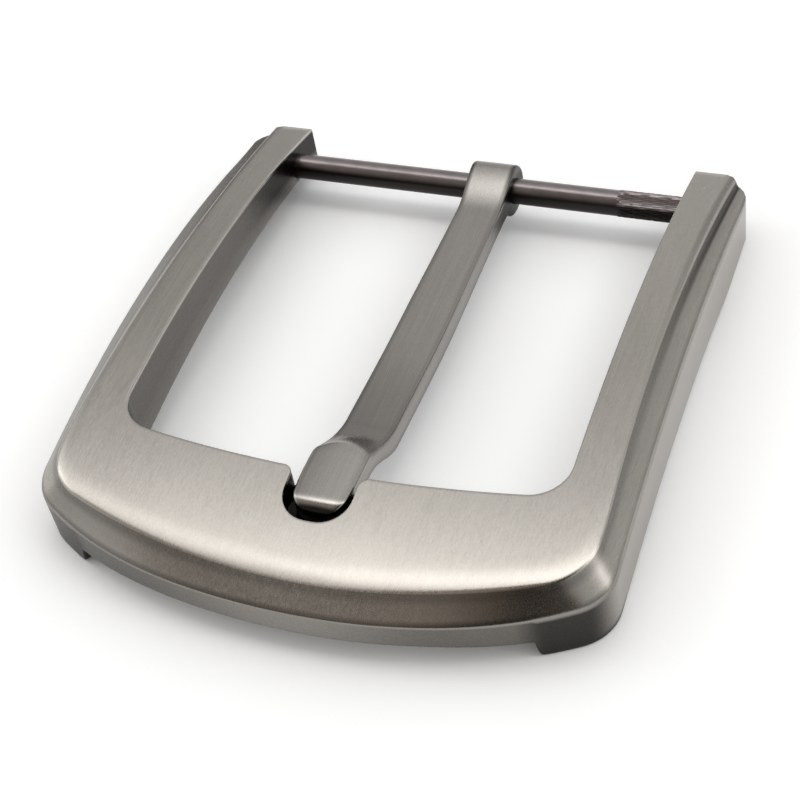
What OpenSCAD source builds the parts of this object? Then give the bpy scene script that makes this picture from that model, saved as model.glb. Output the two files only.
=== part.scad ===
// Belt buckle for a 40 mm strap: a cast frame, a pressed-in bar and a swinging prong.
// X runs along the bar, the front rail is at -Y, Z is up and the buckle rests on Z = 0.
// Lengths along the belt are measured from the bar's axis, and on_table() then moves
// each piece so that the middle of the buckle is at X = 0, Y = 0.

/* [Frame] */
// Clear width between the arms, which is the widest strap it takes
strap_w = 40; // [34:0.5:48]
// Thickness of each arm, seen from above
arm_w = 5.5; // [4.5:0.1:7]
// Length from the bar's axis to the front edge of the rail
frame_l = 54.2; // [45:0.1:66]
// Width of the front rail, from the window to the front edge
rail_w = 12.4; // [10:0.1:15]
// Length of the arms behind the bar's axis
arm_end_l = 4.2; // [3.5:0.1:6]
// Radius of the front edge, seen from above
front_r = 55; // [46:1:90]
// Radius of the front outer corners
corner_r = 5; // [3:0.1:6]
// Radius of the outer corner at the end of each arm
end_r = 2.5; // [1.5:0.1:3.5]
// Radius of the window's front corners
window_r = 3.5; // [2:0.1:5]
// Radius of the window's front edge, seen from above
window_front_r = 125; // [90:5:250]

/* [Crown] */
// Radius of the crown along the belt
crown_r = 120; // [100:5:160]
// Height of the arms' top over the bar
bar_top_h = 6.43; // [6:0.01:7.5]
// Width of the sloping edge along the arms
bevel_w = 2.1; // [1:0.1:2.6]
// Drop of the sloping edge along the arms
bevel_h = 1.4; // [0.8:0.1:1.8]
// Drop of the front edge below the crown, where its slope ends
front_drop = 0.76; // [0.4:0.02:1.2]
// Rise of the front edge's slope for each millimetre inward
front_slope = 0.62; // [0.4:0.02:0.8]

/* [Underside] */
// Thickness of the front rail, over the strap
rail_t = 3.4; // [3.2:0.1:3.8]
// Thickness of the arms at the window
arm_t = 5; // [4.6:0.1:5.4]
// Thickness of the arms at their outer skirt
skirt_t = 7.5; // [7:0.1:8]
// Width of the skirt at its foot
skirt_w = 2; // [1.4:0.1:2.6]
// Slope width between the skirt and the arm's inner underside
relief_w = 2; // [1.5:0.1:2.5]
// Gap between each foot and the strap's edge
foot_gap = 0.3; // [0:0.1:0.8]

/* [Bar] */
// Diameter of the bar
bar_d = 2.5; // [2.1:0.1:3]
// Depth of the bar's axis below the arms' top
bar_depth = 2.53; // [2.3:0.01:2.8]
// Height of the knurl that grips the right seat
knurl_h = 0.05; // [0.03:0.01:0.1]
// Length of the knurl, from the bar's right end
knurl_l = 10.3; // [6:0.1:14]
// Wall left outside the bar's blind seat in each arm
seat_wall = 1.6; // [1:0.1:2.4]

/* [Prong] */
// Width of the prong
prong_w = 4.6; // [3.8:0.1:5.6]
// How far right of the middle the prong and its notch are
prong_x = 0.35; // [0:0.05:0.4]
// Extra width of the tip
tip_extra = 0.4; // [0:0.1:0.6]
// Thickness of the shank
shank_t = 2.2; // [1.8:0.1:2.6]
// Wall of the prong's eye round the bar
eye_wall = 1.15; // [0.95:0.05:1.4]
// Running clearance of the eye on the bar, on radius
run_clear = 0.05; // [0.03:0.01:0.09]
// Depth of the tip's top below the crown
tip_sink = 0.12; // [0:0.02:0.4]
// Thickness of the tip
tip_t = 2; // [1.6:0.1:2.2]
// Length of the tip's flat top behind the window's front edge
tip_back = 3.9; // [3:0.1:5]
// Length of the ramp from the shank up to the tip
ramp_l = 4.4; // [3.5:0.1:5.5]

/* [Notch] */
// Depth of the notch into the rail, seen from above
notch_l = 4.7; // [4.2:0.1:5.6]
// Gap between the tip and the notch's end
end_gap = 1.2; // [0.6:0.1:1.6]
// Gap on each side of the tip
side_gap = 0.55; // [0.3:0.05:0.9]
// Gap under the resting tip
tip_gap = 0.05; // [0.03:0.01:0.15]

/* [Hidden] */
$fn = 96;
over = 1;
half_in = strap_w / 2;
half_w = half_in + arm_w;
mid_y = (frame_l - arm_end_l) / 2;
crown_z = bar_top_h - sqrt(pow(crown_r, 2) - pow(mid_y, 2));
crown_h = crown_z + crown_r;

// Outline of the frame, its front edge and its window.
front_c = [0, front_r - frame_l];
corner_x = half_w - corner_r;
corner_y = front_c.y - sqrt(pow(front_r - corner_r, 2) - pow(corner_x, 2));
corner_a = atan2(corner_y - front_c.y, corner_x);
front_edge_h = crown_at(frame_l) - front_drop;
window_y = frame_l - rail_w;
window_c = [0, window_front_r - window_y];
win_x = half_in - window_r;
win_y = window_c.y - sqrt(pow(window_front_r - window_r, 2) - pow(win_x, 2));
win_a = atan2(win_y - window_c.y, win_x);
end_x = half_w - end_r;
end_y = arm_end_l - end_r;

// Underside of the frame.
channel_x = half_in + foot_gap;
relief_x = half_w - skirt_w - relief_w;
foot_y = window_y + 1.5;

// Bar and its seats.
bar_h = bar_top_h - bar_depth;
knurl_d = bar_d + 2 * knurl_h;
seat_depth = arm_w - seat_wall;
bar_left = -half_in - seat_depth + 0.1;
bar_right = half_in + seat_depth - 0.1;

// Prong, and the notch round its tip.
bore_d = bar_d + 2 * run_clear;
knuckle_d = bar_d + 2 * eye_wall;
shank_top = bar_h + shank_t / 2;
shank_under = bar_h - shank_t / 2;
ramp_end = window_y - tip_back;
ramp_start = ramp_end - ramp_l;
notch_w = prong_w + tip_extra + 2 * side_gap;
notch_end = window_y + notch_l;
notch_y = notch_end - notch_w / 2;
tip_l = notch_end - end_gap;
tip_top_h = crown_at(notch_y) - tip_sink;
tip_under_h = tip_top_h - tip_t;
floor_h = tip_under_h - tip_gap;

// Height of the crown at a length along the belt from the bar's axis.
function crown_at(l) = crown_z + sqrt(pow(crown_r, 2) - pow(l - mid_y, 2));

function arc(c, r, a0, a1, n) =
    [for (i = [0:n]) c + r * [cos(a0 + (a1 - a0) * i / n), sin(a0 + (a1 - a0) * i / n)]];

function flip(points) = [for (i = [len(points) - 1:-1:0]) [-points[i].x, points[i].y]];

// Half of the frame's outline: the arm's end, the front corner, then the front edge.
outline_half = concat(
    [[0, arm_end_l]],
    arc([end_x, end_y], end_r, 90, 0, 8),
    arc([corner_x, corner_y], corner_r, 0, corner_a, 12),
    arc(front_c, front_r, corner_a, -90, 14)
);

// Half of the window's outline: its side, its front corner, then its front edge.
window_half = concat(
    [[0, arm_end_l + over], [half_in, arm_end_l + over]],
    arc([win_x, win_y], window_r, 0, win_a, 10),
    arc(window_c, window_front_r, win_a, -90, 8)
);

// Moves a piece from the bar's axis to its place about the buckle's middle.
module on_table() {
    translate([0, mid_y, 0])
        children();
}

// A ring about the crown's axis, which runs along X, from points of [radius, x].
module about_crown(points) {
    translate([0, -mid_y, crown_z])
        rotate([0, 90, 0])
            rotate_extrude($fn = 360)
                polygon(points);
}

// The arms' and rail's cross-section, swept along the crown.
module crown_ring() {
    low_r = crown_r - skirt_t;
    about_crown([
        [low_r, -half_w - over],
        [crown_r - bevel_h * (bevel_w + over) / bevel_w, -half_w - over],
        [crown_r, -half_w + bevel_w],
        [crown_r, half_w - bevel_w],
        [crown_r - bevel_h * (bevel_w + over) / bevel_w, half_w + over],
        [low_r, half_w + over]
    ]);
}

// Hollow under the arms, which leaves a skirt along each outer side.
module arm_relief() {
    low_r = crown_r - skirt_t;
    intersection() {
        about_crown([
            [low_r - 3, -half_w + skirt_w],
            [low_r, -half_w + skirt_w],
            [crown_r - arm_t, -relief_x],
            [crown_r - arm_t, relief_x],
            [low_r, half_w - skirt_w],
            [low_r - 3, half_w - skirt_w]
        ]);
        translate([-half_w - over, -foot_y, -over])
            cube([2 * (half_w + over), foot_y + arm_end_l + over, crown_h + over]);
    }
}

// Way for the strap under the front rail, between the two feet.
module strap_channel() {
    intersection() {
        translate([0, -mid_y, crown_z])
            rotate([0, 90, 0])
                cylinder(h = 2 * channel_x, r = crown_r - rail_t, center = true, $fn = 360);
        translate([-channel_x, -frame_l - over, -over])
            cube([2 * channel_x, rail_w + 3, crown_h]);
    }
}

// Slope along the front edge: a flat cone about the front edge's centre.
module front_cone() {
    wide_r = front_r + over;
    low_h = front_edge_h - over * front_slope;
    translate([front_c.x, front_c.y, low_h])
        cylinder(h = front_slope * wide_r, r1 = wide_r, r2 = 0, $fn = 360);
    translate([front_c.x, front_c.y, -over])
        cylinder(h = low_h + over, r = wide_r, $fn = 360);
}

// Pocket in the rail that holds the prong's tip.
module notch() {
    translate([prong_x, -notch_y, floor_h])
        cylinder(h = crown_h, d = notch_w);
    translate([prong_x - notch_w / 2, -notch_y, floor_h])
        cube([notch_w, notch_y - window_y + over, crown_h]);
}

// Blind seats for the bar in both arms, the right one wide enough for the knurl.
module bar_seats() {
    translate([-half_in - seat_depth, 0, bar_h])
        rotate([0, 90, 0])
            cylinder(h = seat_depth + over, d = bar_d);
    translate([half_in - over, 0, bar_h])
        rotate([0, 90, 0])
            cylinder(h = seat_depth + over, d = knurl_d);
}

module frame() {
    color("#a39d93")
    on_table()
    difference() {
        intersection() {
            linear_extrude(height = crown_h + over)
                polygon(concat(outline_half, flip(outline_half)));
            crown_ring();
            front_cone();
        }
        translate([0, 0, -over])
            linear_extrude(height = crown_h + 3 * over)
                polygon(concat(window_half, flip(window_half)));
        strap_channel();
        arm_relief();
        notch();
        bar_seats();
    }
}

module strap_bar() {
    color("#4a4644")
    on_table() {
        translate([bar_left, 0, bar_h])
            rotate([0, 90, 0])
                cylinder(h = bar_right - knurl_l - bar_left, d = bar_d);
        translate([bar_right - knurl_l, 0, bar_h])
            rotate([0, 90, 0])
                cylinder(h = knurl_l, d = knurl_d);
    }
}

// Side view of the prong: shank, ramp and tip, as [y, z].
module prong_side() {
    nose_r = tip_t * 0.45;
    polygon(concat(
        [
            [0, shank_under],
            [0, shank_top],
            [-ramp_start, shank_top],
            [-ramp_end, tip_top_h]
        ],
        arc([-tip_l + nose_r, tip_top_h - nose_r], nose_r, 90, 180, 8),
        [
            [-tip_l, tip_under_h + 0.3],
            [-tip_l + 0.3, tip_under_h],
            [-ramp_end - 1.6, tip_under_h],
            [-ramp_start - 0.6, shank_under]
        ]
    ));
}

// The prong seen from above: even along the shank, wider and rounded at the tip.
module prong_plan() {
    half = prong_w / 2;
    tip_half = half + tip_extra / 2;
    tip_r = tip_half * 0.55;
    side = concat(
        [[0, knuckle_d], [half, knuckle_d], [half, -ramp_start]],
        [[tip_half, -ramp_end]],
        arc([tip_half - tip_r, -tip_l + tip_r], tip_r, 0, -90, 8)
    );
    polygon(concat(side, flip(side)));
}

module prong() {
    color("#8f8b86")
    on_table()
    translate([prong_x, 0, 0])
    difference() {
        intersection() {
            linear_extrude(height = crown_h + over)
                prong_plan();
            union() {
                translate([-prong_w, 0, 0])
                    rotate([90, 0, 90])
                        linear_extrude(height = 2 * prong_w)
                            prong_side();
                translate([-prong_w / 2, 0, bar_h])
                    rotate([0, 90, 0])
                        cylinder(h = prong_w, d = knuckle_d);
            }
        }
        translate([-prong_w, 0, bar_h])
            rotate([0, 90, 0])
                cylinder(h = 2 * prong_w, d = bore_d);
    }
}

frame();
strap_bar();
prong();
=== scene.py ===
"""Single-prong belt buckle for a 40 mm strap, in cast and brushed pewter-grey metal.

Millimetres are used while a piece is shaped, with lengths measured from the bar's axis
(the rail is at -Y). place() then turns them into metres in the buckle's own frame.
"""
import math

import bmesh
import bpy
from mathutils import Matrix, Vector


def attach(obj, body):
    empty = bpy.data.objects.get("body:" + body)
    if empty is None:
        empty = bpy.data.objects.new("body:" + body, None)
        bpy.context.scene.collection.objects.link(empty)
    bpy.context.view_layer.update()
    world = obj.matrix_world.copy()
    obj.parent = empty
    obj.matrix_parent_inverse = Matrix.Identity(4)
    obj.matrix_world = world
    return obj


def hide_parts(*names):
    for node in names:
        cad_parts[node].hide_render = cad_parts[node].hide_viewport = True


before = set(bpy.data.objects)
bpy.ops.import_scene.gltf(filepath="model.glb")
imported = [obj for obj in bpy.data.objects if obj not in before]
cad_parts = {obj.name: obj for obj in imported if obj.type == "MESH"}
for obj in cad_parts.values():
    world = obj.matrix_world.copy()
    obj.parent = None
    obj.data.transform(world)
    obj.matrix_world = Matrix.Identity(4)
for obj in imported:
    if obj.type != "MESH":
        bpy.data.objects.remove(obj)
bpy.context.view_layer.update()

# ---- Frame ----------------------------------------------------------------------------
# One die casting in zinc alloy: a wide front rail and two arms, crowned along the belt.
# Its top is brushed along the belt, and the whole is plated pewter grey.

ARM_IN = 20.0                 # half of the clear width between the arms
ARM_OUT = 25.5                # half of the outside width
ARM_END = 4.2                 # how far the arms reach behind the bar
END_R, END_RIM = 3.6, 0.3     # the arms' outer rear corners, and the rim of their ends
BAR_H, BAR_R = 3.9, 1.25      # the bar's axis above the table, and its radius
SEAT_FROM, SEAT_TO = 18.0, 23.9    # the bores for the bar's seats, from inside the window
KNURL_RISE = 0.05             # how far the knurl stands above the bar
MID_Y = 25.0                  # from the middle of the buckle back to the bar's axis

# The crowned top and its crease, and the outer edge below the sloping side.
CROWN_R, CROWN_MID, CROWN_TOP = 120.0, -25.0, 9.06
CREASE_FRONT, CREASE_BOW = -51.67, 3.43
CREASE_SIDE, CREASE_SIDE_BOW, CREASE_SIDE_MID = 23.3, 0.0011, -19
CREASE_CORNER, CREASE_R, CREASE_TURN = (18.62, -43.23), 5.2, 71
FRONT, FRONT_BOW, FRONT_SWEEP, FRONT_EDGE_H = -54.16, 3.11, 0.80, 4.84
OUTER_CORNER, OUTER_R, OUTER_TURN = (21.0, -44.6), 4.5, 62
ARM_EDGE_DROP, ARM_EDGE_BOW, ARM_EDGE_MID, EDGE_FILLET = 1.28, 0.0005, -5, 0.9

# The window between the arms, and the notch that the prong's tip rests in.
WINDOW_FRONT, WINDOW_BOW, WINDOW_R, WINDOW_TURN = -41.8, 1.6, 3.5, 7.5
NOTCH_HALF, NOTCH_END, NOTCH_R, MOUTH_R, NOTCH_FLOOR = 3.05, -46.5, 2.65, 0.8, 5.35
NOTCH_X = 0.35                # how far right of the middle the notch is

# The underside, with the skirt and the feet that the frame stands on.
RAIL_T, ARM_T, ARM_T_GROWTH, BAND_FOOT_H = 3.4, 4.1, 0.054, 2.25
SKIRT_T, SKIRT_W, RELIEF_W = 7.5, 2.0, 2.0
FOOT_X, FOOT_Y, FOOT_W, FOOT_STEP = 20.3, -43.4, 6.0, 0.8
WALL_LEAN = 0.06              # how far the upright wall leans in towards its foot

# Brushing goes from 0, dark plating, to 1, where the wheel has laid the metal bare. Low values also
# stand for painted shade in the places marked below.
DULL_AND_SHADED = 0.05
LEFT_SHADE_SHARE = 0.62             # painted shade: the left side's tone, as a share of the right side's


def ease(t):
    """0 to 1, with level ends, as t goes from 0 to 1."""
    t = min(max(t, 0.0), 1.0)
    return t * t * (3 - 2 * t)


def mix(a, b, t):
    """From a to b as t goes from 0 to 1."""
    return a + (b - a) * t


def join(a, b, k):
    """The higher of two heights, with a fillet where they cross."""
    h = max(k - abs(a - b), 0.0) / k
    return max(a, b) + h * h * k / 4


def crown(y):
    """Height of the crowned top at a length along the belt."""
    return CROWN_TOP - CROWN_R + math.sqrt(CROWN_R**2 - (y - CROWN_MID) ** 2)


def at(centre, r, degrees):
    """A point on a circle."""
    a = math.radians(degrees)
    return Vector((centre[0] + r * math.cos(a), centre[1] + r * math.sin(a)))


def steps(first, last, count):
    """count values evenly after first, up to and including last."""
    return [mix(first, last, (i + 1) / count) for i in range(count)]


def rounded(corners):
    """Rounds the corners of a closed section, but for those with no setback. Each corner is
    (point, setback, segments, tone), and the result is a list of (point, tone), tone being the
    finish with painted shade in places."""
    run = []
    for i, (p, r, n, tone_and_shade) in enumerate(corners):
        if r == 0:
            run.append((p, tone_and_shade))
            continue
        back, ahead = corners[i - 1][0] - p, corners[(i + 1) % len(corners)][0] - p
        a = p + back.normalized() * min(r, 0.45 * back.length)
        b = p + ahead.normalized() * min(r, 0.45 * ahead.length)
        for k in range(n + 1):
            t = k / n
            run.append((a * (1 - t) ** 2 + p * 2 * t * (1 - t) + b * t * t, tone_and_shade))
    return run


def window_front(x):
    """The window's front edge, in plan."""
    return WINDOW_FRONT + WINDOW_BOW * (x / ARM_IN) ** 2


def crease_front(x):
    """The crease along the rail's front, in plan."""
    return CREASE_FRONT + CREASE_BOW * (x / ARM_IN) ** 2


def rail_front(x):
    """The rail's outer edge, in plan."""
    return FRONT + FRONT_BOW * (x / ARM_IN) ** 2 + FRONT_SWEEP * (x / ARM_IN) ** 4


def crease_side(y):
    """Half of the top's width along the arms, between their creases."""
    return CREASE_SIDE + CREASE_SIDE_BOW * (y - CREASE_SIDE_MID) ** 2


def edge_h(y):
    """Height of the outer edge, where the sloping side meets the upright wall."""
    arm = crown(y) - ARM_EDGE_DROP - ARM_EDGE_BOW * (y - ARM_EDGE_MID) ** 2
    return join(arm, FRONT_EDGE_H, EDGE_FILLET)


# Stations along half of the frame, from the middle of the rail to the arm's end. Each has
# the plan points of the window's edge, the crease and the outer edge, and of the line
# where the notch's mouth crosses the window's front edge. Round the notch they are first
# listed with their places across the rail at the crease and on that line.
CREASE_SPREAD, OUTER_SPREAD, LINE_SPREAD = 1.15, 1.04, 0.35
BEND_FROM_LINE, BEND_X, SIDE_X = 0.3, (3.3, 2.2), (4.0, 3.1)
CREASE_FROM, CREASE_TO = 4.75, 20.3            # across the rail, past the notch
OUTER_FROM, OUTER_TO = 4.94, 22.9

stations = []
bottom_x = NOTCH_HALF - NOTCH_R
for x in [0] + steps(0, bottom_x, 2):
    stations.append([Vector((x, NOTCH_END)), CREASE_SPREAD * x, LINE_SPREAD * x])
for t in steps(0, 1, 9):
    w = at((bottom_x, NOTCH_END + NOTCH_R), NOTCH_R, mix(-90, 0, t))
    stations.append([w, mix(CREASE_SPREAD * bottom_x, BEND_X[0], t),
                     mix(BEND_FROM_LINE, BEND_X[1], t)])
mouth = (NOTCH_HALF + MOUTH_R, window_front(NOTCH_HALF + MOUTH_R) - MOUTH_R)
for t in steps(0, 1, 4):
    w = Vector((NOTCH_HALF, mix(NOTCH_END + NOTCH_R, mouth[1], t)))
    stations.append([w, mix(BEND_X[0], SIDE_X[0], t), mix(BEND_X[1], SIDE_X[1], t)])
for t in steps(0, 1, 6):
    w = at(mouth, MOUTH_R, mix(180, 90, t))
    stations.append([w, mix(SIDE_X[0], CREASE_FROM, t), mix(SIDE_X[1], mouth[0], t)])
for s in stations:
    x, line_x = s[1:]
    s[1:] = [Vector((x, crease_front(x))), Vector((OUTER_SPREAD * x, rail_front(OUTER_SPREAD * x))),
             Vector((line_x, window_front(line_x)))]

window_turn = math.radians(WINDOW_TURN)        # of the front edge, where it meets the corner
front_x = ARM_IN - WINDOW_R + WINDOW_R * math.sin(window_turn)
corner = Vector((ARM_IN - WINDOW_R, window_front(front_x) + WINDOW_R * math.cos(window_turn)))
step_t = [(FOOT_X + d - OUTER_FROM) / (OUTER_TO - OUTER_FROM)
          for d in (-0.16, -0.1, -0.03, 0.05, 0.14, 0.25, 0.4)]    # closer at the foot's step
for t in sorted(steps(0, 1, 22) + step_t):
    x = mix(mouth[0], front_x, t)
    cx, ox = mix(CREASE_FROM, CREASE_TO, t), mix(OUTER_FROM, OUTER_TO, t)
    w = Vector((x, window_front(x)))
    stations.append([w, Vector((cx, crease_front(cx))), Vector((ox, rail_front(ox))), w])
for t in steps(0, 1, 18):
    w = at(corner, WINDOW_R, mix(WINDOW_TURN - 90, 0, t))
    stations.append([w, at(CREASE_CORNER, CREASE_R, mix(-CREASE_TURN, 0, t)),
                     at(OUTER_CORNER, OUTER_R, mix(-OUTER_TURN, 0, t)), w])
arm_to = ARM_END + 0.5                         # a little too long, until its end is squared
for t in steps(0, 1, 28):
    y = mix(corner.y, arm_to, t)
    cy, oy = mix(CREASE_CORNER[1], arm_to, t), mix(OUTER_CORNER[1], arm_to, t)
    cx = mix(CREASE_CORNER[0] + CREASE_R, crease_side(cy), ease(t * 9))
    w = Vector((ARM_IN, y))
    stations.append([w, Vector((cx, cy)), Vector((ARM_OUT, oy)), w])


def frame_section(w, c, o, m):
    """The rounded ring round the frame's section at one station: w on the window's edge, c on
    the crease, o on the outer edge and m on the line across the notch's mouth."""
    notch = (m - w).length > 0.01
    y = o.y
    arm = 0.0 if notch else ease((w.y - WINDOW_FRONT) / 5)
    past_step = min(max((o.x - FOOT_X + 0.17) / FOOT_STEP, 0), 1)
    foot = (1 - (1 - past_step) ** 4) * ease((FOOT_Y - y + 0.2) / 0.4)
    out = (o - w).normalized()
    width = (o - w).length

    def plan(inset, z):
        """A point at a height, some way in from the outer edge."""
        p = o - out * inset
        return Vector((p.x, p.y, z))

    def under(p):
        """Height of the underside between the feet, and under the arms."""
        rail = crown(p.y) - RAIL_T
        side = crown(p.y) - (ARM_T + ARM_T_GROWTH * abs(min(p.y, 0)))
        return mix(rail, side, arm)

    # Crowned top, which rolls down a little just inside the crease.
    side_on = ease((c.y + 45) / 9)
    stepped = ease((c.y + 33) / 34)              # how far the arms' step has formed
    roll_w, roll = mix(1.7, 1.0, side_on), mix(0.13, 0.035, side_on)
    crease_set = mix(mix(0.42, 0.3, arm), 0.5, ease((c.y + 30) / 20))
    length = (c - w).length

    def top(f):
        p = w.lerp(c, f)
        near = max(0.0, 1 - (1 - f) * length / roll_w)
        return Vector((p.x, p.y, crown(p.y) - roll * near * near))

    edge = 0.16 if notch else 0.22
    first, last = (edge + 0.1) / length, 1 - (crease_set + 0.12) / length
    ring = [(top(0), edge, 4, 1.0)]
    ring += [(top(mix(first, last, i / 12)), 0, 1, 1.0) for i in range(13)]
    # Towards the rear the crease is dimmed, painted shade above the arms' step.
    ring.append((top(1), crease_set, 5, mix(1.0, 0.6, stepped)))

    # Sloping side, with a step along the rear of the arms. The step's foot is darkened as painted
    # shade.
    slope = o - c
    foot_f = mix(0.13, 0.24, stepped)
    side_p = c + slope * foot_f
    side_h = mix(top(1).z, edge_h(y), 0.13) - 0.75 * stepped
    ring.append((Vector((side_p.x, side_p.y, side_h)), mix(0.28, 0.5, stepped), 5,
                 mix(0.55, 0.1, stepped)))
    for f, tone_and_shade in ((0.42, mix(0.8, 0.7, stepped)), (0.8, 0.85)):
        p = c + slope * f
        h = mix(side_h, edge_h(y), (f - foot_f) / (1 - foot_f))
        ring.append((Vector((p.x, p.y, h)), 0, 1, tone_and_shade))
    ring.append((Vector((o.x, o.y, edge_h(y))), 0.24, 4, mix(0.5, 0.65, ease((y + 47) / 6))))

    # Upright wall, light along the arms and darker across the front and at the feet: partly darker
    # plating, partly painted shade.
    low = CROWN_TOP - CROWN_R + math.sqrt((CROWN_R - SKIRT_T) ** 2 - (y - CROWN_MID) ** 2)
    band_foot = BAND_FOOT_H - 0.35 * ease((o.x - 11) / 9)
    wall_foot = mix(mix(band_foot, max(0.0, low), ease((y + 50) / 3)), 0.0, foot)
    band = mix(mix(0.5, 0.28, ease(o.x / 14)), DULL_AND_SHADED, ease((o.x - 18.5) / 2.5))
    band = mix(band, 1.0, ease((y + 48) / 3.6))
    for f in (0.12, 0.85):
        ring.append((plan(WALL_LEAN * f, mix(edge_h(y), wall_foot, f)), 0, 1, band))
    ring.append((plan(WALL_LEAN, wall_foot), 0.3, 4, mix(band, DULL_AND_SHADED, foot)))

    # Skirt or foot, and underside.
    span = min(1.0, width / 5.5)
    skirt = mix(SKIRT_W, FOOT_W, foot) * span
    skirt_p = plan(min(skirt, 0.8 * width), 0)
    skirt_p.z = mix(mix(under(skirt_p), max(0.0, low), ease((y + 44) / 2)), 0.0, foot)
    ring.append((skirt_p, 0.3, 4, 0.3))
    relief_p = plan(min(skirt + mix(RELIEF_W, 0.5, foot) * span, 0.9 * width), 0)
    relief_p.z = under(relief_p)
    ring.append((relief_p, 0.3, 3, 0.3))
    sill = Vector((m.x, m.y, under(m)))
    ring.append((sill, 0.22, 4, 0.4))

    # Inner wall, or the notch's floor and wall. Painted shade darkens the notch's floor and wall
    # all through, and the inner wall towards the bar.
    wall = 0.0 if notch else mix(0.26, 0.0, ease((w.y + 14) / 11))
    mid = mix(sill.z, crown(w.y), 0.5)
    low_z, high_z = (NOTCH_FLOOR, NOTCH_FLOOR) if notch else (mid - 0.4, mid + 0.4)
    ring.append((Vector((m.x, m.y, low_z)), 0.08, 2, wall))
    ring.append((Vector((w.x, w.y, high_z)), 0.1, 2, wall))
    ring.append((Vector((w.x, w.y, crown(w.y) - 0.4)), 0, 1, wall))
    return rounded(ring)


def sweep(bm, sections):
    """Extrudes a closed ring of edges through the sections. Returns its first and last rings."""
    step = bm.verts.layers.int.new("step")
    brushed = bm.verts.layers.float.new("brushed")
    ring = []
    for i, (p, tone_and_shade) in enumerate(sections[0]):
        ring.append(bm.verts.new(p))
        ring[-1][step], ring[-1][brushed] = i, tone_and_shade
    first = edges = [bm.edges.new((ring[i - 1], ring[i])) for i in range(len(ring))]
    for section in sections[1:]:
        made = bmesh.ops.extrude_edge_only(bm, edges=edges)["geom"]
        new = {g for g in made if isinstance(g, bmesh.types.BMVert)}
        edges = [g for g in made if isinstance(g, bmesh.types.BMEdge) and new.issuperset(g.verts)]
        for v in new:
            v.co, v[brushed] = section[v[step]]
    return first, edges


def shave(bm, point, normal):
    """Cuts off what lies beyond a plane, and closes the cut."""
    cut = bmesh.ops.bisect_plane(bm, geom=bm.verts[:] + bm.edges[:] + bm.faces[:], dist=0.00001,
                                 plane_co=point, plane_no=normal, clear_outer=True)["geom_cut"]
    bmesh.ops.edgeloop_fill(bm, edges=[g for g in cut if isinstance(g, bmesh.types.BMEdge)])


def keep(bm, mesh, sharp=32):
    """Stores the shape in a mesh, smooth but for the edges sharper than a number of degrees."""
    bmesh.ops.dissolve_degenerate(bm, edges=bm.edges, dist=0.000002)
    for f in bm.faces:
        f.smooth = True
    for e in bm.edges:
        e.smooth = e.is_manifold and e.calc_face_angle(0) < math.radians(sharp)
    bm.to_mesh(mesh)
    bm.free()


def place(bm, name, material, sharp=32):
    """Makes the finished object, in metres in the buckle's own frame."""
    bmesh.ops.translate(bm, verts=bm.verts, vec=(0, MID_Y, 0))
    bmesh.ops.scale(bm, verts=bm.verts, vec=(0.001, 0.001, 0.001))
    mesh = bpy.data.meshes.new(name)
    keep(bm, mesh, sharp)
    made = bpy.data.objects.new(name, mesh)
    bpy.context.scene.collection.objects.link(made)
    if material:
        mesh.materials.append(material)
    return made


def bored(piece, name, x_from, x_to, r):
    """Bores the piece along the bar's axis."""
    bm = bmesh.new()
    bmesh.ops.create_cone(bm, cap_ends=True, segments=72, radius1=r, radius2=r,
                          depth=x_to - x_from)
    bmesh.ops.rotate(bm, verts=bm.verts, cent=(0, 0, 0),
                     matrix=Matrix.Rotation(math.pi / 2, 3, "Y"))
    bmesh.ops.translate(bm, verts=bm.verts, vec=((x_from + x_to) / 2, 0, BAR_H))
    drill = place(bm, name, None)
    cut = piece.modifiers.new("bore", "BOOLEAN")
    cut.operation, cut.solver, cut.object = "DIFFERENCE", "EXACT", drill
    evaluated = piece.evaluated_get(bpy.context.evaluated_depsgraph_get())
    done = bpy.data.meshes.new_from_object(evaluated)
    piece.modifiers.clear()
    old, piece.data = piece.data, done
    bpy.data.meshes.remove(old)
    bpy.data.objects.remove(drill)
    bm = bmesh.new()
    bm.from_mesh(done)
    keep(bm, done)
    done.name = piece.name


class Value:
    """A shader socket. Arithmetic on it adds Math nodes."""

    def __init__(self, finish, socket):
        self.finish, self.socket = finish, socket

    def part(self, number):
        """Another output of the same node."""
        return Value(self.finish, self.socket.node.outputs[number])

    def math(self, operation, *numbers):
        """The result of a Math node."""
        return self.finish.node("ShaderNodeMath", {"operation": operation},
                                dict(enumerate(numbers)))

    def __add__(self, other):
        return self.math("ADD", self, other)

    def __sub__(self, other):
        return self.math("SUBTRACT", self, other)

    def __rsub__(self, other):
        return self.math("SUBTRACT", other, self)

    def __mul__(self, other):
        return self.math("MULTIPLY", self, other)

    __radd__, __rmul__ = __add__, __mul__


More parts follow.
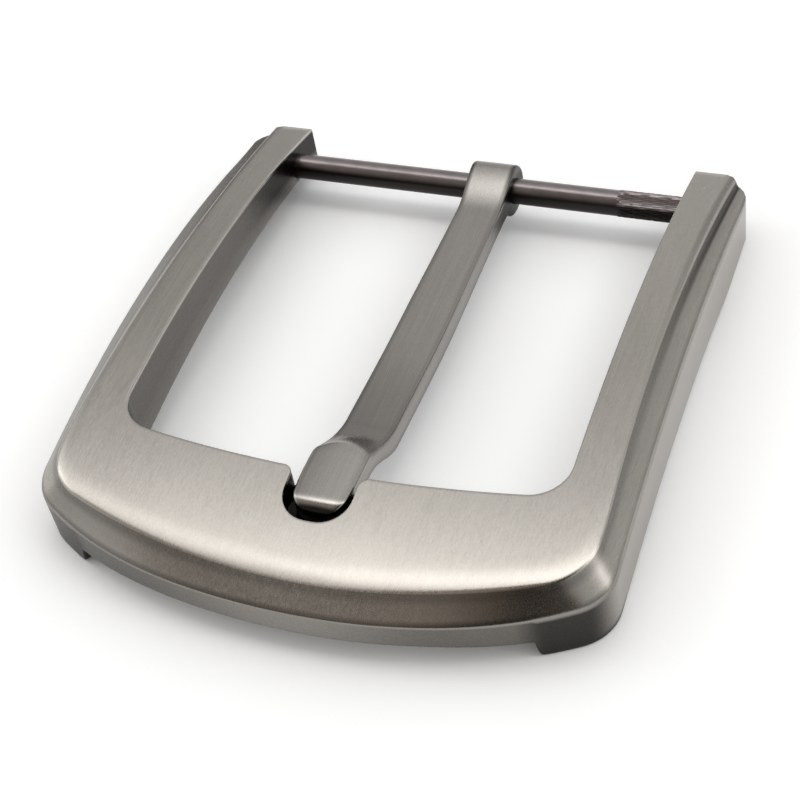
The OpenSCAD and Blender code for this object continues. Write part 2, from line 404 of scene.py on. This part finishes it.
class Finish:
    """The nodes of one material, or of the studio's light."""

    def __init__(self, tree):
        self.tree = tree
        tree.nodes.clear()

    def node(self, kind, settings, sockets, out=0):
        """Adds a node, sets it, fills its sockets, and returns one of its outputs."""
        made = self.tree.nodes.new(kind)
        for name, setting in settings.items():
            if name == "stops":
                ramp = made.color_ramp.elements
                while len(ramp) < len(setting):
                    ramp.new(0.5)
                for stop, (position, level) in zip(ramp, setting):
                    stop.position, stop.color = position, (level, level, level, 1)
            else:
                setattr(made, name, setting)
        for name, value in sockets.items():
            if isinstance(value, Value):
                self.tree.links.new(value.socket, made.inputs[name])
            else:
                made.inputs[name].default_value = value
        return Value(self, made.outputs[out]) if made.outputs else None

    def blend(self, a, b, share):
        """A colour between a and b."""
        return self.node("ShaderNodeMix", {"data_type": "RGBA"}, {0: share, 6: a, 7: b}, out=2)

    def grain(self, stretch, detail):
        """Noise from 0 to 1, with a number of features a metre along each axis."""
        where = self.node("ShaderNodeTexCoord", {}, {}, out=3)
        where = self.node("ShaderNodeVectorMath", {"operation": "MULTIPLY"}, {0: where, 1: stretch})
        return self.node("ShaderNodeTexNoise", {},
                         {"Vector": where, "Scale": 1.0, "Detail": detail, "Roughness": 0.5})


# The dark colour is dark plating, and also painted shade where the tone is low.
PEWTER, DARK_PLATING_AND_SHADE = (0.53, 0.50, 0.46, 1), (0.022, 0.020, 0.018, 1)
BRUSH_DEPTH = 0.0000018       # of the brushing's hairlines, in metres


def pewter(name, bright):
    """Brushed, plated casting. Its tone attribute says where the wheel has laid the metal bare, and
    low values also give painted shade in places.
    """
    material = bpy.data.materials.new(name)
    material.use_nodes = True
    f = Finish(material.node_tree)
    hair = f.grain((8000, 130, 8000), 1)
    fleck = f.grain((9000, 3000, 9000), 1)
    streak = f.grain((2200, 30, 2200), 2)
    cloud = f.grain((130, 90, 130), 2)
    finish_and_shade_level = f.node("ShaderNodeAttribute", {"attribute_name": "brushed"}, {}, out=2)
    finish_and_shade_level = finish_and_shade_level * (0.95 + 0.16 * (cloud - 0.5))
    tone = f.node("ShaderNodeMath", {"operation": "MULTIPLY", "use_clamp": True},
                  {0: finish_and_shade_level, 1: 0.2 * (hair + fleck - 1) + 0.12 * (streak - 0.5) + 1})
    rough = 0.28 - 0.03 * finish_and_shade_level + 0.08 * (hair - 0.5)
    normal = f.node("ShaderNodeBump", {},
                    {"Strength": 1.0, "Distance": BRUSH_DEPTH, "Height": hair})
    shader = f.node("ShaderNodeBsdfPrincipled", {}, {
        "Base Color": f.blend(DARK_PLATING_AND_SHADE, bright, tone), "Metallic": 1.0, "Roughness": rough,
        "Normal": normal, "Specular Tint": (0.78, 0.78, 0.78, 1)})
    f.node("ShaderNodeOutputMaterial", {}, {"Surface": shader})
    return material


brushed_pewter = pewter("brushed_pewter", PEWTER)
bm = bmesh.new()
_, arm_ring = sweep(bm, [frame_section(*s) for s in stations])
bmesh.ops.edgeloop_fill(bm, edges=arm_ring)
for a in range(12, 91, 13):                    # rounds the arm's outer corner, and squares its end
    p = at((ARM_OUT - END_R, ARM_END - END_R), END_R, a)
    shave(bm, (p.x, p.y, 0), (math.cos(math.radians(a)), math.sin(math.radians(a)), 0))
rim_y = ARM_END - END_RIM
for a in (18, 37, 56):                         # eases the rim between the end and the top
    p = at((rim_y, crown(rim_y) - 1.03 * END_RIM), END_RIM, a)    # here across Y and Z
    shave(bm, (0, p.x, p.y), (0, math.cos(math.radians(a)), math.sin(math.radians(a))))
bmesh.ops.mirror(bm, geom=bm.verts[:] + bm.edges[:] + bm.faces[:], matrix=Matrix.Identity(4),
                 merge_dist=0.0001, axis="X")
bmesh.ops.remove_doubles(bm, verts=bm.verts, dist=0.0005)
bmesh.ops.recalc_face_normals(bm, faces=bm.faces)
brushed = bm.verts.layers.float["brushed"]
for v in bm.verts:
    if v.co.y < -40:                             # the notch is right of the middle
        v.co.x += NOTCH_X * (1 - ease((abs(v.co.x) - 4) / 7))
    if v.co.x < -23.9 and v.co.y > -44:          # painted shade darkens the left side
        v[brushed] *= LEFT_SHADE_SHARE
buckle_frame = place(bm, "buckle_frame", brushed_pewter)
bored(buckle_frame, "left_seat", -SEAT_TO, -SEAT_FROM, BAR_R)
bored(buckle_frame, "right_seat", SEAT_FROM, SEAT_TO, BAR_R + KNURL_RISE)
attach(buckle_frame, "buckle")
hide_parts("frame")

# ---- Strap bar ------------------------------------------------------------------------
# A round steel pin with a dark oxide finish and a knurled right end. Both of its ends are
# held in blind seats in the arms.

BAR_HALF, KNURL_FROM, TEETH = 23.8, 13.5, 44
TOOTH, TOOTH_WAVE = 0.055, 0.03                # the knurl's depth, and how much it varies
# The lighter oxide colour is a painted highlight for the bar's top.
OXIDE_DARK, OXIDE_SHEEN = (0.03, 0.027, 0.026, 1), (0.36, 0.325, 0.325, 1)

oxide = bpy.data.materials.new("dark_oxide")
oxide.use_nodes = True
f = Finish(oxide.node_tree)
turned = f.grain((900, 5200, 5200), 2)
worn = f.grain((700, 1500, 1500), 3)
sheen_tone = f.blend((0.22, 0.195, 0.195, 1), OXIDE_SHEEN, worn)
finish_and_shade_level = f.node("ShaderNodeAttribute", {"attribute_name": "brushed"}, {}, out=2)
ridges = f.node("ShaderNodeBump", {}, {"Strength": 1.0, "Distance": 0.000002, "Height": turned})
shader = f.node("ShaderNodeBsdfPrincipled", {}, {
    "Base Color": f.blend(OXIDE_DARK, sheen_tone, finish_and_shade_level), "Metallic": 1.0,
    "Roughness": 0.26 + 0.10 * turned, "Normal": ridges})
f.node("ShaderNodeOutputMaterial", {}, {"Surface": shader})


def bar_ring(x, r, tooth=0.0):
    """A round section of the bar at x, with its teeth raised by tooth."""
    ring = []
    for i in range(2 * TEETH):
        a = math.pi * i / TEETH
        rise = tooth * (1 + 0.4 * math.sin(5 * i + 3 * x)) * (0.5 if i % 2 else -0.5)
        rr = min(r + rise, BAR_R + KNURL_RISE)
        top_sheen = ease((math.sin(a) - 0.4) / 0.35)    # painted highlight on top, painted shade below
        if tooth:
            top_sheen = top_sheen * (1.7 if i % 2 else 0.9)
        ring.append((Vector((x, rr * math.cos(a), BAR_H + rr * math.sin(a))), top_sheen))
    return ring


bm = bmesh.new()
bar_sections = [bar_ring(-BAR_HALF, BAR_R - 0.25), bar_ring(-BAR_HALF + 0.12, BAR_R - 0.12),
                bar_ring(-BAR_HALF + 0.3, BAR_R)]
bar_sections += [bar_ring(x, BAR_R) for x in steps(-BAR_HALF + 0.5, KNURL_FROM, 24)]
bar_sections += [bar_ring(KNURL_FROM + 0.15, BAR_R + 0.01, 0.04)]
for x in steps(KNURL_FROM + 0.3, BAR_HALF - 0.3, 40):
    bar_sections.append(bar_ring(x, BAR_R + 0.015 + 0.01 * math.sin(7 * x),
                                 TOOTH + TOOTH_WAVE * math.sin(11 * x)))
bar_sections += [bar_ring(BAR_HALF - 0.12, BAR_R - 0.1), bar_ring(BAR_HALF, BAR_R - 0.25)]
for ring in sweep(bm, bar_sections):
    bmesh.ops.edgeloop_fill(bm, edges=ring)
bmesh.ops.recalc_face_normals(bm, faces=bm.faces)
bar = place(bm, "bar", oxide, sharp=25)
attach(bar, "buckle")
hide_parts("strap_bar")

# ---- Prong ----------------------------------------------------------------------------
# A cast tongue in the same metal as the frame: an eye round the bar, a flat shank, a ramp
# with a curved brow, and a wider brushed tip that rests in the notch.

SHANK_TOP, SHANK_UNDER = 5.0, 2.8
EYE_R, BORE_R, EYE_FLARE = 2.4, 1.3, 0.12
REAR_HALF, FRONT_HALF = 2.12, 2.33             # half of the shank's width at its two ends
RAMP_FROM, BROW, BROW_BOW, BROW_FILLET = 33.6, 39.2, 1.1, 0.22
TIP_L, TIP_TOP, TIP_UNDER, TIP_CORNER = 45.4, 7.36, 5.42, 1.65
NOSE_L, NOSE_H, NOSE_SHADE_FROM = 1.35, 1.0, 44.8    # painted shade on the nose's front face past this length
EYE_X, TIP_X = 0.92, 0.42                      # how far right of the middle its ends sit
PRONG_PEWTER = (0.51, 0.485, 0.455, 1)


def eye(l):
    """Half height of the eye at a length forward of the bar's axis."""
    return EYE_R * max(0.0, 1 - abs(l / EYE_R) ** 2.3) ** (1 / 2.3)


def nose(l):
    """How far the tip's top has fallen, as it rounds to its front end."""
    u = min(max((l - TIP_L) / NOSE_L + 1, 0.0), 1.0)
    return NOSE_H * (1 - math.sqrt(1 - u * u))


def prong_top(l):
    """Height of the prong's top."""
    ramp = max((l - RAMP_FROM) / (BROW - RAMP_FROM), 0.0) ** 1.5
    pad = TIP_TOP - 0.03 * ((l - 41) / 3) ** 2
    z = -join(-mix(SHANK_TOP, TIP_TOP, ramp), -pad, BROW_FILLET)
    z -= nose(l)
    return max(z, mix(BAR_H + EYE_R, SHANK_TOP, ease((l + 1) / 5.8)))


def prong_under(l):
    """Height of the prong's underside, in front of the bar's axis."""
    z = mix(SHANK_UNDER, TIP_UNDER, ease((l - RAMP_FROM) / 6.2))
    z += 0.3 * nose(l)
    return BAR_H - join(BAR_H - z, eye(l), 0.9) if l < 6 else z


def prong_half(l):
    """Half of the prong's width."""
    half = mix(REAR_HALF, FRONT_HALF, ease((l - 4) / 18)) + EYE_FLARE * (1 - ease(l / 4))
    half += 0.19 * ease((l - 36) / 4.2) - 0.2 * ease((l - 41.5) / 3.5)
    if l > TIP_L - TIP_CORNER:
        half -= TIP_CORNER - math.sqrt(max(TIP_CORNER**2 - (l - TIP_L + TIP_CORNER) ** 2, 0.0))
    return half


def prong_section(l):
    """The rounded section across the prong, l forward of the bar's axis."""
    if l < 0:
        top, under = min(BAR_H + eye(l), prong_top(l)), BAR_H - eye(l)
    else:
        top, under = prong_top(l), prong_under(l)
    half = prong_half(max(l, 0.0))
    high = top - under
    brow = BROW_BOW * ease(1 - abs(l - BROW) / 4.2)
    crowned = 0.10 * ease((l - BROW + 0.2) / 0.8) + 0.03
    pad = ease((l - BROW + 1.2) / 1.6)
    edge = min(mix(0.50, 0.62, pad), 0.5 * half)
    set_top, set_under = min(edge, 0.45 * high), min(0.3, 0.4 * high)
    aside = mix(EYE_X, TIP_X, ease((l - 20) / 23))

    shine = mix(mix(0.84, 0.60, ease((l - 22) / 12)), 1.0, pad)
    # Painted shade on the nose's front face.
    shine = mix(shine, DULL_AND_SHADED, ease((l - NOSE_SHADE_FROM) / 0.3))
    # Near the eye the rims and flanks are darkened as painted shade beside the bar.
    rim = shine * mix(0.25, 0.8, ease(l / 6))
    flank = 0.75 * ease((l - 3) / 5)               # painted shade beside the bar

    def p(x, z, up=0.0):
        """A point across the prong. The brow bows its line forward, and up crowns it."""
        bow = 1 - (x / half) ** 2
        return Vector((aside + x, -(l - brow * bow), z + up * crowned * bow))

    inner = half - edge - 0.08
    flank_z = mix(top, under, 0.25), mix(top, under, 0.6)
    ring = [(p(-half, top), set_top, 5, rim)]
    ring += [(p(mix(-inner, inner, i / 10), top, 1.0), 0, 1, shine) for i in range(11)]
    ring.append((p(half, top), set_top, 5, rim))
    ring += [(p(half, z), 0, 1, flank) for z in flank_z]
    ring.append((p(half, under), set_under, 4, 0.7 * flank))
    ring += [(p(mix(inner, -inner, i / 4), under), 0, 1, 0.3) for i in range(5)]
    ring.append((p(-half, under), set_under, 4, 0.7 * flank))
    ring += [(p(-half, z), 0, 1, flank) for z in reversed(flank_z)]
    return rounded(ring)


lengths = [-EYE_R * math.cos(math.radians(a)) for a in range(6, 90, 6)]
lengths += [0.0] + steps(0, 8, 24) + steps(8, 32.4, 18) + steps(32.4, BROW - 0.16, 20)
lengths += steps(BROW - 0.16, BROW + 0.24, 4) + steps(BROW + 0.24, TIP_L - TIP_CORNER, 12)
lengths += [TIP_L - TIP_CORNER + TIP_CORNER * math.sin(math.radians(a)) for a in range(6, 91, 6)]
bm = bmesh.new()
for ring in sweep(bm, [prong_section(l) for l in lengths]):
    bmesh.ops.edgeloop_fill(bm, edges=ring)
bmesh.ops.recalc_face_normals(bm, faces=bm.faces)
tongue = place(bm, "tongue", pewter("prong_pewter", PRONG_PEWTER))
bored(tongue, "eye_bore", -4.0, 4.0, BORE_R)
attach(tongue, "tongue")
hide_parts("prong")

# ---- Studio ---------------------------------------------------------------------------
# A pale table under a broad overhead light, with a darker room in front of the table.

TABLE_HALF = 3.0              # in metres
GLOW, GLOW_REACH = 0.41, 0.009    # the paper's, and how close to the metal it fades
BRIGHTEST = 2.9               # the highest level of the light

bm = bmesh.new()
bmesh.ops.create_grid(bm, x_segments=1, y_segments=1, size=TABLE_HALF)
table_mesh = bpy.data.meshes.new("table_top")
bm.to_mesh(table_mesh)
bm.free()
table = bpy.data.objects.new("table_top", table_mesh)
bpy.context.scene.collection.objects.link(table)
paper = bpy.data.materials.new("white_paper")
paper.use_nodes = True
f = Finish(paper.node_tree)
fibre = f.grain((900, 900, 900), 2)
# The paper's glow keeps it white, and fades where the metal would keep light off it.
open_sky = f.node("ShaderNodeAmbientOcclusion", {"samples": 4}, {"Distance": GLOW_REACH}, out=1)
shader = f.node("ShaderNodeBsdfPrincipled", {}, {
    "Base Color": f.blend((0.84, 0.845, 0.85, 1), (0.88, 0.885, 0.89, 1), fibre),
    "Roughness": 0.6, "Specular IOR Level": 0.2,
    "Emission Color": f.blend((0.02, 0.02, 0.02, 1), (0.98, 0.99, 1.0, 1), open_sky),
    "Emission Strength": GLOW})
f.node("ShaderNodeOutputMaterial", {}, {"Surface": shader})
table_mesh.materials.append(paper)

world = bpy.data.worlds.new("studio")
bpy.context.scene.world = world
world.use_nodes = True
f = Finish(world.node_tree)
toward = f.node("ShaderNodeTexCoord", {}, {}, out=0)
where = f.node("ShaderNodeSeparateXYZ", {}, {0: toward})
x, y, z = where.part(0), where.part(1), where.part(2)


def between(value, start, end):
    """Goes softly from 0 at start to 1 at end, whichever of them is the higher."""
    return f.node("ShaderNodeMapRange", {"interpolation_type": "SMOOTHSTEP"},
                  {"Value": value, "From Min": start, "From Max": end})


# The light's level by its tilt in degrees: -90 in front, 0 overhead and 90 behind.
tilt = y.math("ARCTAN2", y, z) * (1 / math.pi) + 0.5
sky = f.node("ShaderNodeValToRGB", {"stops": [(t / 180 + 0.5, l / BRIGHTEST) for t, l in (
    (-90, 0.5), (-30, 0.6), (-11, 0.9), (-1, 2.4), (7, 2.9), (14, 1.25), (26, 0.76), (42, 0.56),
    (65, 0.62), (90, 0.62))]}, {"Fac": tilt})
left_fade = 1 - 0.5 * between(y, -0.18, -0.34) * between(x, 0.22, -0.15)
room = (between(y, -0.02, -0.13) * between(x, -0.78, -0.42) * between(x, 0.62, 0.46)
        * between(z, 0.1, 0.4) * left_fade)
side = 1 - 0.45 * between(x, -0.28, -0.6) + 0.5 * between(x, -0.58, -0.68)
level = sky * BRIGHTEST * (1 - 0.965 * room) * side
tint = f.blend((1, 0.995, 0.985, 1), (0.85, 0.62, 0.42, 1), room)
background = f.node("ShaderNodeBackground", {}, {"Color": tint, "Strength": level})
f.node("ShaderNodeOutputWorld", {}, {"Surface": background})

# The camera, by where it aims, how far it is and how it is turned.
AZIMUTH, ELEVATION, ROLL = 27.924, 44.926, -11.303
AIM, DISTANCE = Vector((-0.002516, 0.003527, -0.004949)), 0.16692
az, el, roll = (math.radians(a) for a in (AZIMUTH, ELEVATION, ROLL))
back = Vector((math.sin(az) * math.cos(el), -math.cos(az) * math.cos(el), math.sin(el)))
across = Vector((math.cos(az), math.sin(az), 0))
upward = back.cross(across)
right = across * math.cos(roll) + upward * math.sin(roll)
up = upward * math.cos(roll) - across * math.sin(roll)
lens = bpy.data.cameras.new("camera")
lens.sensor_width, lens.lens = 36.0, 79.376
lens.clip_start = 0.005
camera = bpy.data.objects.new("camera", lens)
turned_to = Matrix((right, up, back)).transposed().to_4x4()
camera.matrix_world = Matrix.Translation(AIM + back * DISTANCE) @ turned_to
bpy.context.scene.collection.objects.link(camera)
bpy.context.scene.camera = camera
bpy.context.scene.view_settings.view_transform = "Standard"
